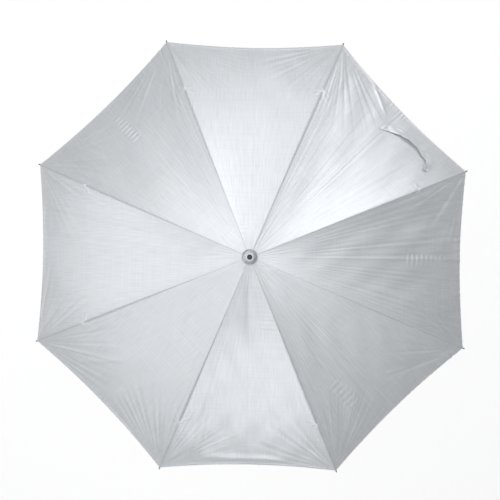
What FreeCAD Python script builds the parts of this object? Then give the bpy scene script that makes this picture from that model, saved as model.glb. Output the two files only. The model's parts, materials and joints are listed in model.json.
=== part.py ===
import FreeCAD, Part
import math
import os
import Sketcher
from FreeCAD import Placement, Rotation, Vector

# Umbrella reflector, open. Millimetres, +Z up the shaft to the ferrule.
# The origin is on the shaft's axis, at the shaft's lower end.
#
# The frame is a slider linkage, repeated for each rib: the rib turns on the
# notch wire (pivot P), the stretcher turns on a rivet in the rib's lug
# (pivot Q) and ends in the runner (pivot S). PQ and QS are equally long, so
# S stays straight below P at every opening.

drivingSizes = {
    # shaft
    "shaft_radius": 4.0,
    "shaft_bore_radius": 3.2,
    "shaft_top": 738.0,
    "plug_length": 14.0,
    # crown
    "crown_height": 720.0,
    "pivot_radius": 10.0,
    "wire_radius": 0.6,
    "ring_radius": 12.8,
    "ring_drop": 4.0,
    "slot_inner_radius": 7.8,
    "slot_width": 3.4,
    "slot_overcut": 2.0,
    "crown_rise": 2.6,
    "crown_hub_radius": 6.5,
    "crown_hub_drop": 16.0,
    # ribs
    "rib_count": 8,
    "rib_first_azimuth": 22.5,
    "rib_arc_length": 535.0,
    "rib_start_slope": 12.0,
    "rib_end_slope": 40.0,
    "rib_radius": 1.4,
    "rod_end_gap": 1.0,
    "eye_radius": 1.8,
    "eye_width": 2.8,
    "eye_bore_radius": 0.8,
    # rib tips
    "tip_root_radius": 1.9,
    "tip_nose_radius": 1.2,
    "tip_length": 13.0,
    "tip_overlap": 6.0,
    "tip_socket_radius": 1.42,
    "tip_socket_depth": 5.0,
    # stretcher joint
    "link_length": 250.0,
    "fold_angle": 63.0,
    "lug_drop": 4.0,
    "lug_radius": 2.0,
    "lug_thickness": 1.4,
    "stretcher_radius": 1.2,
    "cheek_radius": 2.2,
    "cheek_thickness": 0.8,
    "cheek_gap": 0.3,
    "fork_clearance": 3.2,
    "fork_block_length": 4.5,
    "fork_block_height": 2.8,
    "stub_width": 3.2,
    "rivet_radius": 0.8,
    "rivet_play": 0.08,
    "rivet_head_radius": 1.5,
    "rivet_head_height": 0.5,
    "rivet_head_gap": 0.1,
    # runner and its stop
    "runner_bore_radius": 4.1,
    "runner_sleeve_radius": 7.0,
    "runner_sleeve_drop": 48.0,
    "runner_lip_radius": 7.6,
    "runner_lip_height": 3.0,
    "runner_ring_rise": 3.0,
    "runner_neck_rise": 7.0,
    "runner_neck_radius": 6.2,
    "stop_pin_radius": 1.2,
    "stop_pin_length": 13.0,
    "stop_gap": 0.4,
    "stop_ring_radius": 6.4,
    "stop_ring_width": 1.5,
    "stop_groove_radius": 3.7,
    # catch
    "catch_length": 24.0,
    "catch_width": 2.4,
    "catch_reach": 6.8,
    "catch_root": 1.2,
    "catch_step": 1.5,
    "catch_play": 0.3,
    "spring_thickness": 0.5,
    "spring_length": 46.0,
    # canopy
    "cloth_thickness": 0.4,
    "cloth_over_rib": 2.2,
    "cloth_inner_radius": 14.4,
    "panel_gap": 0.3,
    "hem_sagitta": 10.6,
    "hem_slope": 33.0,
    "gore_sag": 10.0,
    # rosette, collar and ferrule
    "rosette_radius": 16.5,
    "rosette_thickness": 1.2,
    "rosette_gap": 0.2,
    "collar_radius": 7.2,
    "collar_height": 3.0,
    "ferrule_radius": 5.2,
    "ferrule_rise": 24.0,
    "ferrule_nose": 1.6,
    # tie strap
    "strap_width": 12.0,
    "strap_thickness": 1.0,
    "strap_lift": 0.5,
}

# The tie strap's line over the canopy, as (radius, azimuth) from the shaft's axis.
strapRoute = [(392.0, 44.7), (408.0, 39.8), (417.5, 35.5), (420.5, 31.5), (424.0, 29.3)]
tabRoute = [(424.0, 29.5), (404.0, 27.3)]


def degSin(angle):
    return math.sin(math.radians(angle))


def degCos(angle):
    return math.cos(math.radians(angle))


def degTan(angle):
    return math.tan(math.radians(angle))


def linkageSizes(size):
    """The sizes that follow from the driving ones: the rib's bend and the pivots' places."""
    sweep = size["rib_end_slope"] - size["rib_start_slope"]
    bend = size["rib_arc_length"] / math.radians(sweep)
    lugBend = bend - size["lug_drop"]
    link = size["link_length"]
    turn = math.acos((bend ** 2 + lugBend ** 2 - link ** 2) / (2 * bend * lugBend))
    jointSlope = size["rib_start_slope"] + math.degrees(turn)
    centreX = size["pivot_radius"] - bend * degSin(size["rib_start_slope"])
    centreZ = size["crown_height"] - bend * degCos(size["rib_start_slope"])
    jointZ = centreZ + lugBend * degCos(jointSlope)
    openAngle = math.degrees(math.acos((size["crown_height"] - jointZ) / link))
    travel = 2 * link * (degCos(openAngle - size["fold_angle"]) - degCos(openAngle))
    return {
        "rib_sweep": sweep,
        "bend_radius": bend,
        "bend_centre_x": centreX,
        "bend_centre_z": centreZ,
        "joint_slope": jointSlope,
        "joint_x": centreX + lugBend * degSin(jointSlope),
        "joint_z": jointZ,
        "runner_height": 2 * jointZ - size["crown_height"],
        "runner_travel": travel,
    }


doc = FreeCAD.newDocument("umbrella_reflector")
sheet = doc.addObject("Spreadsheet::Sheet", "Sheet")
size = dict(drivingSizes)
size.update(linkageSizes(drivingSizes))
for row, (alias, number) in enumerate(size.items(), start=1):
    sheet.set("A%d" % row, alias)
    sheet.set("B%d" % row, repr(number))
    sheet.setAlias("B%d" % row, alias)
doc.recompute()

ribCount = int(size["rib_count"])
ribAzimuths = [size["rib_first_azimuth"] + number * 360.0 / ribCount for number in range(ribCount)]
halfGore = 180.0 / ribCount
axisX = Vector(1, 0, 0)
axisY = Vector(0, 1, 0)
axisZ = Vector(0, 0, 1)
subParts = []


# Helpers

def keep(piece, label):
    """Name a finished sub-part and put it on the list of files to write."""
    piece.Label = label
    subParts.append(piece)


def value(formula):
    return float(sheet.evalExpression(formula))


def primitive(kind, name, sizes, place=Placement()):
    """A Part primitive whose sizes are bound to the sheet."""
    piece = doc.addObject("Part::" + kind, name)
    for prop, formula in sizes.items():
        piece.setExpression(prop, formula)
    piece.Placement = place
    return piece


def fused(name, pieces):
    whole = doc.addObject("Part::MultiFuse", name)
    whole.Shapes = pieces
    return whole


def cut(name, base, tool):
    rest = doc.addObject("Part::Cut", name)
    rest.Base = base
    rest.Tool = tool
    return rest


def turned(azimuth):
    """The place of a piece that is drawn over +X and belongs at this azimuth."""
    return Placement(Vector(), Rotation(axisZ, azimuth))


def crossPlace(point, width):
    """A cylinder of this length lies along Y, centred on the point."""
    return Placement(point + Vector(0, width / 2, 0), Rotation(axisX, 90))


def alongPlace(start, direction):
    """A cylinder or cone starts here and points this way, within the XZ plane."""
    return Placement(start, Rotation(axisZ, direction))


def ribPoint(slope, lift=0.0):
    """The point of the rib's arc with this slope below level, moved out by lift."""
    reach = size["bend_radius"] + lift
    return Vector(size["bend_centre_x"] + reach * degSin(slope), 0,
                  size["bend_centre_z"] + reach * degCos(slope))


def originPlane(body, role):
    return [item for item in body.Origin.OriginFeatures if item.Role == role][0]


def drawOutline(body, name, role, corners):
    """A closed outline on one of the body's planes; each corner is bound to two formulas."""
    sketch = body.newObject("Sketcher::SketchObject", name)
    sketch.AttachmentSupport = [(originPlane(body, role), "")]
    sketch.MapMode = "FlatFace"
    points = [Vector(value(across), value(up), 0) for across, up in corners]
    count = len(points)
    for index in range(count):
        sketch.addGeometry(Part.LineSegment(points[index], points[(index + 1) % count]))
    for index in range(count):
        sketch.addConstraint(Sketcher.Constraint("Coincident", index, 2, (index + 1) % count, 1))
    for index, (across, up) in enumerate(corners):
        for kind, axisLine, formula in (("DistanceX", -2, across), ("DistanceY", -1, up)):
            place = value(formula)
            if place == 0:
                sketch.addConstraint(Sketcher.Constraint("PointOnObject", index, 1, axisLine))
                continue
            number = sketch.addConstraint(Sketcher.Constraint(kind, -1, 1, index, 1, place))
            sketch.setExpression("Constraints[%d]" % number, formula)
    sketch.Visibility = False
    return sketch


def turnedBody(name, corners):
    """A body turned about Z from an outline of (radius, height) formulas."""
    body = doc.addObject("PartDesign::Body", name)
    outline = drawOutline(body, name + "_outline", "XZ_Plane", corners)
    lathe = body.newObject("PartDesign::Revolution", name + "_lathe")
    lathe.Profile = outline
    lathe.ReferenceAxis = (outline, ["V_Axis"])
    lathe.Angle = 360
    doc.recompute()
    return body


def cutAway(body, kind, name, outline, settings):
    """A Pocket or Groove that has to take some material away."""
    before = body.Shape.Volume
    tool = body.newObject("PartDesign::" + kind, name)
    tool.Profile = outline
    for prop, setting in settings.items():
        setattr(tool, prop, setting)
    doc.recompute()
    if body.Shape.Volume >= before:
        raise ValueError(name + " cuts nothing")
    return tool


def slotRing(body, name, height):
    """Radial slots for the eyes through the body's ring, and the wire's channel at this height."""
    half = "Sheet.slot_width / 2"
    inner = "Sheet.slot_inner_radius"
    outer = "Sheet.ring_radius + Sheet.slot_overcut"
    corners = [(inner, "-" + half), (outer, "-" + half), (outer, half), (inner, half)]
    outline = drawOutline(body, name + "_slot_outline", "XY_Plane", corners)
    slot = cutAway(body, "Pocket", name + "_slot", outline, {"Type": "ThroughAll", "Midplane": True})
    pattern = body.newObject("PartDesign::PolarPattern", name + "_slots")
    pattern.Originals = [slot]
    pattern.Axis = (outline, ["N_Axis"])
    pattern.Angle = 360
    pattern.Occurrences = ribCount
    body.Tip = pattern
    doc.recompute()
    channel = body.newObject("Sketcher::SketchObject", name + "_channel_outline")
    channel.AttachmentSupport = [(originPlane(body, "XZ_Plane"), "")]
    channel.MapMode = "FlatFace"
    centre = Vector(size["pivot_radius"], value(height), 0)
    channel.addGeometry(Part.Circle(centre, axisZ, size["wire_radius"]))
    for kind, formula in (("DistanceX", "Sheet.pivot_radius"), ("DistanceY", height)):
        number = channel.addConstraint(Sketcher.Constraint(kind, -1, 1, 0, 3, value(formula)))
        channel.setExpression("Constraints[%d]" % number, formula)
    number = channel.addConstraint(Sketcher.Constraint("Radius", 0, size["wire_radius"]))
    channel.setExpression("Constraints[%d]" % number, "Sheet.wire_radius")
    channel.Visibility = False
    cutAway(body, "Groove", name + "_channel", channel,
            {"ReferenceAxis": (channel, ["V_Axis"]), "Angle": 360})
    body.Placement = turned(size["rib_first_azimuth"])


# Shaft, its end plug, the runner's two stops and the top catch

ringTop = "(Sheet.runner_height - Sheet.runner_travel - Sheet.runner_sleeve_drop - Sheet.stop_gap)"
ringFoot = "(%s - Sheet.stop_ring_width)" % ringTop


def makeShaft():
    """A plain tube, grooved for the stop ring, slotted for the catch and drilled for the stop pin."""
    bore, wall, groove = "Sheet.shaft_bore_radius", "Sheet.shaft_radius", "Sheet.stop_groove_radius"
    body = turnedBody("shaft", [(bore, "0"), (wall, "0"), (wall, ringFoot), (groove, ringFoot),
                                (groove, ringTop), (wall, ringTop), (wall, "Sheet.shaft_top"),
                                (bore, "Sheet.shaft_top")])
    catchTop = "Sheet.runner_height - Sheet.runner_sleeve_drop"
    catchFoot = catchTop + " - Sheet.catch_length - 2 * Sheet.catch_play"
    half = "(Sheet.catch_width / 2 + Sheet.catch_play)"
    window = drawOutline(body, "catch_window", "YZ_Plane",
                         [("-" + half, catchFoot), (half, catchFoot),
                          (half, catchTop), ("-" + half, catchTop)])
    cutAway(body, "Pocket", "catch_slot", window, {"Type": "ThroughAll", "Reversed": True})
    return body


def makeStopPin(name):
    height = size["runner_height"] + size["runner_neck_rise"] + size["stop_gap"] + size["stop_pin_radius"]
    place = crossPlace(Vector(0, 0, height), size["stop_pin_length"])
    return primitive("Cylinder", name, {"Radius": "Sheet.stop_pin_radius",
                                        "Height": "Sheet.stop_pin_length"}, place)


def makeCatch():
    """A wedge that stands out of the shaft: its step holds the open runner up, its slope lets it pass."""
    body = doc.addObject("PartDesign::Body", "catch")
    top = "Sheet.runner_height - Sheet.runner_sleeve_drop - Sheet.catch_play"
    foot = top + " - Sheet.catch_length"
    shoulder = top + " - Sheet.catch_step"
    root, reach = "Sheet.catch_root", "Sheet.catch_reach"
    outline = drawOutline(body, "catch_outline", "XZ_Plane",
                          [(root, foot), ("Sheet.shaft_radius - Sheet.catch_play", foot), (reach, shoulder),
                           (reach, top), (root, top)])
    pad = body.newObject("PartDesign::Pad", "catch_pad")
    pad.Profile = outline
    pad.Midplane = True
    pad.setExpression("Length", "Sheet.catch_width")
    return body


def makeCatchSpring():
    """A flat leaf that lies behind the wedge inside the tube and pushes it out."""
    top = size["runner_height"] - size["runner_sleeve_drop"] - size["catch_play"] - size["catch_step"]
    corner = Vector(size["catch_root"] - size["spring_thickness"], -size["catch_width"] / 2,
                    top - size["spring_length"])
    return primitive("Box", "spring_leaf", {"Length": "Sheet.spring_thickness", "Width": "Sheet.catch_width",
                                            "Height": "Sheet.spring_length"}, Placement(corner, Rotation()))


keep(cut("shaft_drilled", makeShaft(), makeStopPin("stop_pin_hole")), "shaft_tube")
keep(makeStopPin("stop_pin"), "runner_stop_pin")
keep(turnedBody("stop_ring", [("Sheet.stop_groove_radius", ringFoot), ("Sheet.stop_ring_radius", ringFoot),
                              ("Sheet.stop_ring_radius", ringTop), ("Sheet.stop_groove_radius", ringTop)]),
     "runner_stop_ring")
keep(primitive("Cylinder", "plug", {"Radius": "Sheet.shaft_bore_radius", "Height": "Sheet.plug_length"}),
     "end_plug")
keep(makeCatch(), "top_catch")
keep(makeCatchSpring(), "catch_spring")


# Top notch with its wire, rosette, collar and ferrule

def makeTopNotch():
    bore, hub, ring = "Sheet.shaft_radius", "Sheet.crown_hub_radius", "Sheet.ring_radius"
    foot = "Sheet.crown_height - Sheet.crown_hub_drop"
    under = "Sheet.crown_height - Sheet.ring_drop"
    top = "Sheet.crown_height + Sheet.crown_rise"
    body = turnedBody("notch", [(bore, foot), (hub, foot), (hub, under),
                                (ring, under), (ring, top), (bore, top)])
    slotRing(body, "notch", "Sheet.crown_height")
    return body


def makeWire(name, height):
    return primitive("Torus", name, {"Radius1": "Sheet.pivot_radius", "Radius2": "Sheet.wire_radius"},
                     Placement(Vector(0, 0, height), Rotation()))


rosetteFoot = "(Sheet.crown_height + Sheet.crown_rise + Sheet.rosette_gap)"
rosetteTop = "(%s + Sheet.rosette_thickness)" % rosetteFoot
collarTop = "(%s + Sheet.collar_height)" % rosetteTop
ferruleTop = "(%s + Sheet.ferrule_rise)" % rosetteTop
keep(makeTopNotch(), "top_notch")
keep(makeWire("crown_wire", size["crown_height"]), "notch_wire")
keep(turnedBody("rosette_disc", [("Sheet.shaft_radius", rosetteFoot), ("Sheet.rosette_radius", rosetteFoot),
                                 ("Sheet.rosette_radius", rosetteTop), ("Sheet.shaft_radius", rosetteTop)]),
     "rosette")
keep(turnedBody("collar", [("Sheet.ferrule_radius", rosetteTop), ("Sheet.collar_radius", rosetteTop),
                           ("Sheet.collar_radius", collarTop), ("Sheet.ferrule_radius", collarTop)]),
     "ferrule_collar")
keep(turnedBody("ferrule_cap", [("Sheet.shaft_radius", rosetteTop), ("Sheet.ferrule_radius", rosetteTop),
                                ("Sheet.ferrule_radius", ferruleTop + " - Sheet.ferrule_nose"),
                                ("Sheet.ferrule_radius - Sheet.ferrule_nose", ferruleTop), ("0", ferruleTop),
                                ("0", "Sheet.shaft_top"), ("Sheet.shaft_radius", "Sheet.shaft_top")]),
     "ferrule")


# Runner: sleeve, slotted ring and the wire's arcs between the slots

def makeRunner():
    bore, sleeve, lip = "Sheet.runner_bore_radius", "Sheet.runner_sleeve_radius", "Sheet.runner_lip_radius"
    ring, neck = "Sheet.ring_radius", "Sheet.runner_neck_radius"
    foot = "Sheet.runner_height - Sheet.runner_sleeve_drop"
    lipTop = foot + " + Sheet.runner_lip_height"
    under = "Sheet.runner_height - Sheet.ring_drop"
    over = "Sheet.runner_height + Sheet.runner_ring_rise"
    top = "Sheet.runner_height + Sheet.runner_neck_rise"
    body = turnedBody("slider", [(bore, foot), (lip, foot), (lip, lipTop), (sleeve, lipTop), (sleeve, under),
                                 (ring, under), (ring, over), (neck, over), (neck, top), (bore, top)])
    slotRing(body, "slider", "Sheet.runner_height")
    return body


def makeRunnerWire():
    """The wire only fills the ring's lands: the slots stay open so that the eyes can leave them."""
    slots = []
    for number, azimuth in enumerate(ribAzimuths):
        corner = Vector(0, -size["slot_width"] / 2, size["runner_height"] - size["ring_drop"])
        place = turned(azimuth).multiply(Placement(corner, Rotation()))
        slots.append(primitive("Box", "wire_slot_%d" % number, {"Length": "Sheet.ring_radius",
                                                                "Width": "Sheet.slot_width",
                                                                "Height": "2 * Sheet.ring_drop"}, place))
    ring = makeWire("runner_wire_ring", size["runner_height"])
    return cut("runner_wire_arcs", ring, fused("wire_slots", slots))


keep(makeRunner(), "runner")
keep(makeRunnerWire(), "runner_wire")


# Ribs, tips, rivets and stretchers, drawn over +X and turned to each azimuth

crownPivot = Vector(size["pivot_radius"], 0, size["crown_height"])
ribJoint = Vector(size["joint_x"], 0, size["joint_z"])
runnerPivot = Vector(size["pivot_radius"], 0, size["runner_height"])


def makeRib(number):
    """A round rod bent to one arc, with an eye at the notch wire and a lug for the stretcher."""
    tag = "_%d" % number
    endSlope = size["rib_end_slope"] - math.degrees(size["rod_end_gap"] / size["bend_radius"])
    outward = Vector(degSin(endSlope), 0, degCos(endSlope))
    inward = Vector(-degCos(endSlope), 0, degSin(endSlope))
    centre = Vector(size["bend_centre_x"], 0, size["bend_centre_z"])
    rodPlace = Placement(centre, Rotation(outward, inward, outward.cross(inward), "XYZ"))
    rodSweep = "Sheet.rib_sweep - Sheet.rod_end_gap / Sheet.bend_radius * 180 / pi"
    rod = primitive("Torus", "rib_rod" + tag, {"Radius1": "Sheet.bend_radius", "Radius2": "Sheet.rib_radius",
                                               "Angle3": rodSweep}, rodPlace)
    eye = primitive("Cylinder", "rib_eye" + tag, {"Radius": "Sheet.eye_radius", "Height": "Sheet.eye_width"},
                    crossPlace(crownPivot, size["eye_width"]))
    lugFace = primitive("Cylinder", "rib_lug" + tag, {"Radius": "Sheet.lug_radius",
                                                      "Height": "Sheet.lug_thickness"},
                        crossPlace(ribJoint, size["lug_thickness"]))
    lugTurn = Rotation(axisY, size["joint_slope"])
    corner = ribJoint + lugTurn.multVec(Vector(-size["lug_radius"], -size["lug_thickness"] / 2, 0))
    lugWeb = primitive("Box", "rib_web" + tag, {"Length": "2 * Sheet.lug_radius",
                                                "Width": "Sheet.lug_thickness",
                                                "Height": "Sheet.lug_drop"}, Placement(corner, lugTurn))
    eyeBore = primitive("Cylinder", "rib_eye_bore" + tag, {"Radius": "Sheet.eye_bore_radius",
                                                           "Height": "2 * Sheet.eye_width"},
                        crossPlace(crownPivot, 2 * size["eye_width"]))
    lugBore = primitive("Cylinder", "rib_lug_bore" + tag, {"Radius": "Sheet.rivet_radius",
                                                           "Height": "2 * Sheet.lug_thickness"},
                        crossPlace(ribJoint, 2 * size["lug_thickness"]))
    return cut("rib_cut" + tag, fused("rib_solid" + tag, [rod, eye, lugFace, lugWeb]),
               fused("rib_bores" + tag, [eyeBore, lugBore]))


def makeTip(number):
    """A tapered pin over the rib's end that stands out past the hem."""
    tag = "_%d" % number
    slope = size["rib_end_slope"] - math.degrees(size["tip_overlap"] / size["bend_radius"])
    root = ribPoint(slope)
    direction = Vector(degCos(slope), 0, -degSin(slope))
    taper = primitive("Cone", "tip_taper" + tag, {"Radius1": "Sheet.tip_root_radius",
                                                  "Radius2": "Sheet.tip_nose_radius",
                                                  "Height": "Sheet.tip_length"}, alongPlace(root, direction))
    nose = primitive("Sphere", "tip_nose" + tag, {"Radius": "Sheet.tip_nose_radius"},
                     alongPlace(root + direction * size["tip_length"], direction))
    socket = primitive("Cylinder", "tip_socket" + tag, {"Radius": "Sheet.tip_socket_radius",
                                                        "Height": "Sheet.tip_socket_depth"},
                       alongPlace(root, direction))
    return cut("tip_cut" + tag, fused("tip_solid" + tag, [taper, nose]), socket)


def makeRivet(number):
    """A pin through the lug and the fork's cheeks, with a head on each side."""
    tag = "_%d" % number
    headInside = (size["lug_thickness"] / 2 + size["cheek_gap"] + size["cheek_thickness"]
                  + size["rivet_head_gap"])
    headMiddle = headInside + size["rivet_head_height"] / 2
    pin = primitive("Cylinder", "rivet_pin" + tag,
                    {"Radius": "Sheet.rivet_radius",
                     "Height": "Sheet.lug_thickness + 2 * (Sheet.cheek_gap + Sheet.cheek_thickness"
                               " + Sheet.rivet_head_gap + Sheet.rivet_head_height)"},
                    crossPlace(ribJoint, 2 * (headInside + size["rivet_head_height"])))
    heads = []
    for side in (-1, 1):
        place = crossPlace(ribJoint + Vector(0, side * headMiddle, 0), size["rivet_head_height"])
        heads.append(primitive("Cylinder", "rivet_head%s_%d" % (tag, side + 1),
                               {"Radius": "Sheet.rivet_head_radius",
                                "Height": "Sheet.rivet_head_height"}, place))
    return fused("rivet_solid" + tag, [pin] + heads)


def makeStretcher(number):
    """A straight rod with a fork over the rib's lug and an eye, with its stub of wire, in the runner."""
    tag = "_%d" % number
    downhill = runnerPivot.sub(ribJoint).normalize()
    forkTurn = Rotation(axisZ, downhill)
    cheekMiddle = size["lug_thickness"] / 2 + size["cheek_gap"] + size["cheek_thickness"] / 2
    cheekEdge = cheekMiddle + size["cheek_thickness"] / 2
    blockEnd = size["fork_clearance"] + size["fork_block_length"]
    pieces = []
    for side in (-1, 1):
        middle = Vector(0, side * cheekMiddle, 0)
        pieces.append(primitive("Cylinder", "cheek_disc%s_%d" % (tag, side + 1),
                                {"Radius": "Sheet.cheek_radius", "Height": "Sheet.cheek_thickness"},
                                crossPlace(ribJoint + middle, size["cheek_thickness"])))
        corner = Vector(-size["fork_block_height"] / 2, -size["cheek_thickness"] / 2, 0)
        pieces.append(primitive("Box", "cheek_arm%s_%d" % (tag, side + 1),
                                {"Length": "Sheet.fork_block_height", "Width": "Sheet.cheek_thickness",
                                 "Height": "Sheet.fork_clearance + Sheet.fork_block_length"},
                                Placement(ribJoint + middle + forkTurn.multVec(corner), forkTurn)))
    corner = Vector(-size["fork_block_height"] / 2, -cheekEdge, size["fork_clearance"])
    pieces.append(primitive("Box", "fork_block" + tag,
                            {"Length": "Sheet.fork_block_height",
                             "Width": "Sheet.lug_thickness + 2 * (Sheet.cheek_gap + Sheet.cheek_thickness)",
                             "Height": "Sheet.fork_block_length"},
                            Placement(ribJoint + forkTurn.multVec(corner), forkTurn)))
    rodStart = ribJoint + downhill * (blockEnd - size["fork_block_length"] / 2)
    rodLength = "Sheet.link_length - Sheet.fork_clearance - Sheet.fork_block_length / 2"
    pieces.append(primitive("Cylinder", "stretcher_rod" + tag, {"Radius": "Sheet.stretcher_radius",
                                                                "Height": rodLength},
                            alongPlace(rodStart, downhill)))
    pieces.append(primitive("Cylinder", "stretcher_eye" + tag, {"Radius": "Sheet.eye_radius",
                                                                "Height": "Sheet.eye_width"},
                            crossPlace(runnerPivot, size["eye_width"])))
    pieces.append(primitive("Cylinder", "stretcher_stub" + tag, {"Radius": "Sheet.wire_radius",
                                                                 "Height": "Sheet.stub_width"},
                            crossPlace(runnerPivot, size["stub_width"])))
    bore = primitive("Cylinder", "cheek_bore" + tag, {"Radius": "Sheet.rivet_radius + Sheet.rivet_play",
                                                      "Height": "2 * Sheet.stub_width"},
                     crossPlace(ribJoint, 2 * size["stub_width"]))
    return cut("stretcher_cut" + tag, fused("stretcher_solid" + tag, pieces), bore)


# Canopy: one panel for each rib, from the middle of one gore to the middle of the next.
# Between a rib and the middle of its gore the cloth is ruled straight.

def goreCurve(lift, side):
    """The cloth's line down the middle of a gore: three points, on this side of the rib."""
    reach = size["bend_radius"] + lift
    innerSlope = math.degrees(math.asin((size["cloth_inner_radius"] - size["bend_centre_x"]) / reach))
    middleSlope = (innerSlope + size["rib_end_slope"]) / 2
    points = []
    for slope, sag, hemStep in ((innerSlope, 0, 0), (middleSlope, size["gore_sag"], 0),
                                (size["rib_end_slope"], 0, size["hem_sagitta"])):
        onRib = ribPoint(slope, lift)
        radius = onRib.x * degCos(halfGore) - sag * degSin(slope) - hemStep
        height = onRib.z - sag * degCos(slope) + hemStep * degTan(size["hem_slope"])
        along = Vector(degCos(halfGore), side * degSin(halfGore), 0)
        towardsRib = Vector(degSin(halfGore), -side * degCos(halfGore), 0)
        points.append(along * radius + Vector(0, 0, height) + towardsRib * (size["panel_gap"] / 2))
    return points


def ribCurve(lift):
    reach = size["bend_radius"] + lift
    innerSlope = math.degrees(math.asin((size["cloth_inner_radius"] - size["bend_centre_x"]) / reach))
    middleSlope = (innerSlope + size["rib_end_slope"]) / 2
    return [ribPoint(slope, lift) for slope in (innerSlope, middleSlope, size["rib_end_slope"])]


def arcEdge(points):
    return Part.Arc(*points).toShape()


def lineEdge(start, end):
    return Part.LineSegment(start, end).toShape()


def clothSolid(lowLift, highLift, sides):
    """A closed sheet between two lifts above the rib's line, on one or both sides of the rib."""
    ribLow, ribHigh = ribCurve(lowLift), ribCurve(highLift)
    faces = []
    for side in sides:
        goreLow, goreHigh = goreCurve(lowLift, side), goreCurve(highLift, side)
        faces.append(Part.makeRuledSurface(arcEdge(ribLow), arcEdge(goreLow)))
        faces.append(Part.makeRuledSurface(arcEdge(ribHigh), arcEdge(goreHigh)))
        faces.append(Part.makeRuledSurface(arcEdge(goreLow), arcEdge(goreHigh)))
        for end in (0, 2):
            faces.append(Part.makeRuledSurface(lineEdge(ribLow[end], goreLow[end]),
                                               lineEdge(ribHigh[end], goreHigh[end])))
    if len(sides) == 1:
        faces.append(Part.makeRuledSurface(arcEdge(ribLow), arcEdge(ribHigh)))
    shell = Part.makeShell(faces)
    shell.sewShape()
    solid = Part.makeSolid(Part.Shell(shell.Faces))
    if solid.Volume < 0:
        solid.reverse()
    return solid


def addShape(name, shape, place):
    piece = doc.addObject("Part::Feature", name)
    piece.Shape = shape
    piece.Placement = place
    return piece


panelShape = clothSolid(size["cloth_over_rib"], size["cloth_over_rib"] + size["cloth_thickness"], (-1, 1))
for number, azimuth in enumerate(ribAzimuths, start=1):
    rib = makeRib(number)
    tip = makeTip(number)
    rivet = makeRivet(number)
    stretcher = makeStretcher(number)
    panel = addShape("panel_%d" % number, panelShape, Placement())
    for piece, label in ((rib, "rib"), (tip, "rib_tip"), (rivet, "rivet"), (stretcher, "stretcher"),
                         (panel, "canopy")):
        piece.Placement = turned(azimuth)
        keep(piece, "%s_%d" % (label, number))


# Tie strap and its fastener tab, lying on the first panel

def bandShape(route, lowLift):
    """A band along the route, as thick as the strap, lowLift above the cloth."""
    half = size["strap_width"] / 2
    first = size["rib_first_azimuth"]
    line = [Vector(radius * degCos(azimuth - first), radius * degSin(azimuth - first), 0)
            for radius, azimuth in route]
    left, right = [], []
    for index, point in enumerate(line):
        before = line[max(index - 1, 0)]
        after = line[min(index + 1, len(line) - 1)]
        across = axisZ.cross(after.sub(before)).normalize() * half
        left.append(point + across)
        right.append(point - across)
    outline = Part.makePolygon(left + right[::-1] + [left[0]])
    column = Part.Face(outline).extrude(Vector(0, 0, size["shaft_top"]))
    clothTop = size["cloth_over_rib"] + size["cloth_thickness"]
    layer = clothSolid(clothTop + lowLift, clothTop + lowLift + size["strap_thickness"], (1,))
    return layer.common(column).Solids[0]


tabLift = 2 * size["strap_lift"] + size["strap_thickness"]
keep(addShape("strap_band", bandShape(strapRoute, size["strap_lift"]), turned(ribAzimuths[0])), "tie_strap")
keep(addShape("strap_end", bandShape(tabRoute, tabLift), turned(ribAzimuths[0])), "strap_tab")


# Check every object, then write each sub-part

doc.recompute()
for item in doc.Objects:
    if "Invalid" in item.State or "Error" in item.State:
        raise ValueError(item.Name + " failed: " + str(item.State))
for piece in subParts:
    if piece.Shape.isNull() or not piece.Shape.isValid() or piece.Shape.Volume <= 0:
        raise ValueError(piece.Label + " has no valid shape")
os.makedirs("parts", exist_ok=True)
for piece in subParts:
    piece.Shape.exportStep("parts/" + piece.Label + ".step")
print("%d sub-parts, runner pivot at %.3f, rib joint at %.3f, %.3f"
      % (len(subParts), size["runner_height"], size["joint_x"], size["joint_z"]))
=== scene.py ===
import json
import math
import bpy
import numpy as np
from mathutils import Matrix, Vector


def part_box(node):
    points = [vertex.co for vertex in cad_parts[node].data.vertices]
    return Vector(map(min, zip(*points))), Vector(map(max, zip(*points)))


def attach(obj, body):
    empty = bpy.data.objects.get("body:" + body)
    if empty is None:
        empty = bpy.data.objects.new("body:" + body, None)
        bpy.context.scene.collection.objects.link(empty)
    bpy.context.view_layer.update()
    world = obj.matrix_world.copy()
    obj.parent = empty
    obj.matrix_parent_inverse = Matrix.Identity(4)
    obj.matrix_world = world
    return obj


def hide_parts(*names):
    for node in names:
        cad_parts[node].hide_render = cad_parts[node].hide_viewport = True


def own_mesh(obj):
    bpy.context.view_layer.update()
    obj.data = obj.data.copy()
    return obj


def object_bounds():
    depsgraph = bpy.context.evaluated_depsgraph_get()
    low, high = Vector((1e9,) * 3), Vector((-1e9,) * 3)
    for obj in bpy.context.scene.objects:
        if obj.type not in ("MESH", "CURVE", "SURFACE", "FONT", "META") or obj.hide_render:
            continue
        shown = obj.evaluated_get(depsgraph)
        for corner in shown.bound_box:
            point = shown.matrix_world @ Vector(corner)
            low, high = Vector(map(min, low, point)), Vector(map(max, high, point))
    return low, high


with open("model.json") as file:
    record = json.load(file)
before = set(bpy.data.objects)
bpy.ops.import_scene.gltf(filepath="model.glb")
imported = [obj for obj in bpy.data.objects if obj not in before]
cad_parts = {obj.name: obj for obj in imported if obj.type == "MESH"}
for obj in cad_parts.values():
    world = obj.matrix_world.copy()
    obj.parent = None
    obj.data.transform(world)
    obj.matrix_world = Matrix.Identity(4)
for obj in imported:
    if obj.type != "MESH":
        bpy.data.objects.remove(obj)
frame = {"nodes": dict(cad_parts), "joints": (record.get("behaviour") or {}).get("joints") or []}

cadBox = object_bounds()
joints = {joint["name"]: joint for joint in frame["joints"]}
crownPivot = np.array(joints["rib_1_fold"]["pos_m"])
ribJoint = np.array(joints["stretcher_1_fold"]["pos_m"])
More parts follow.
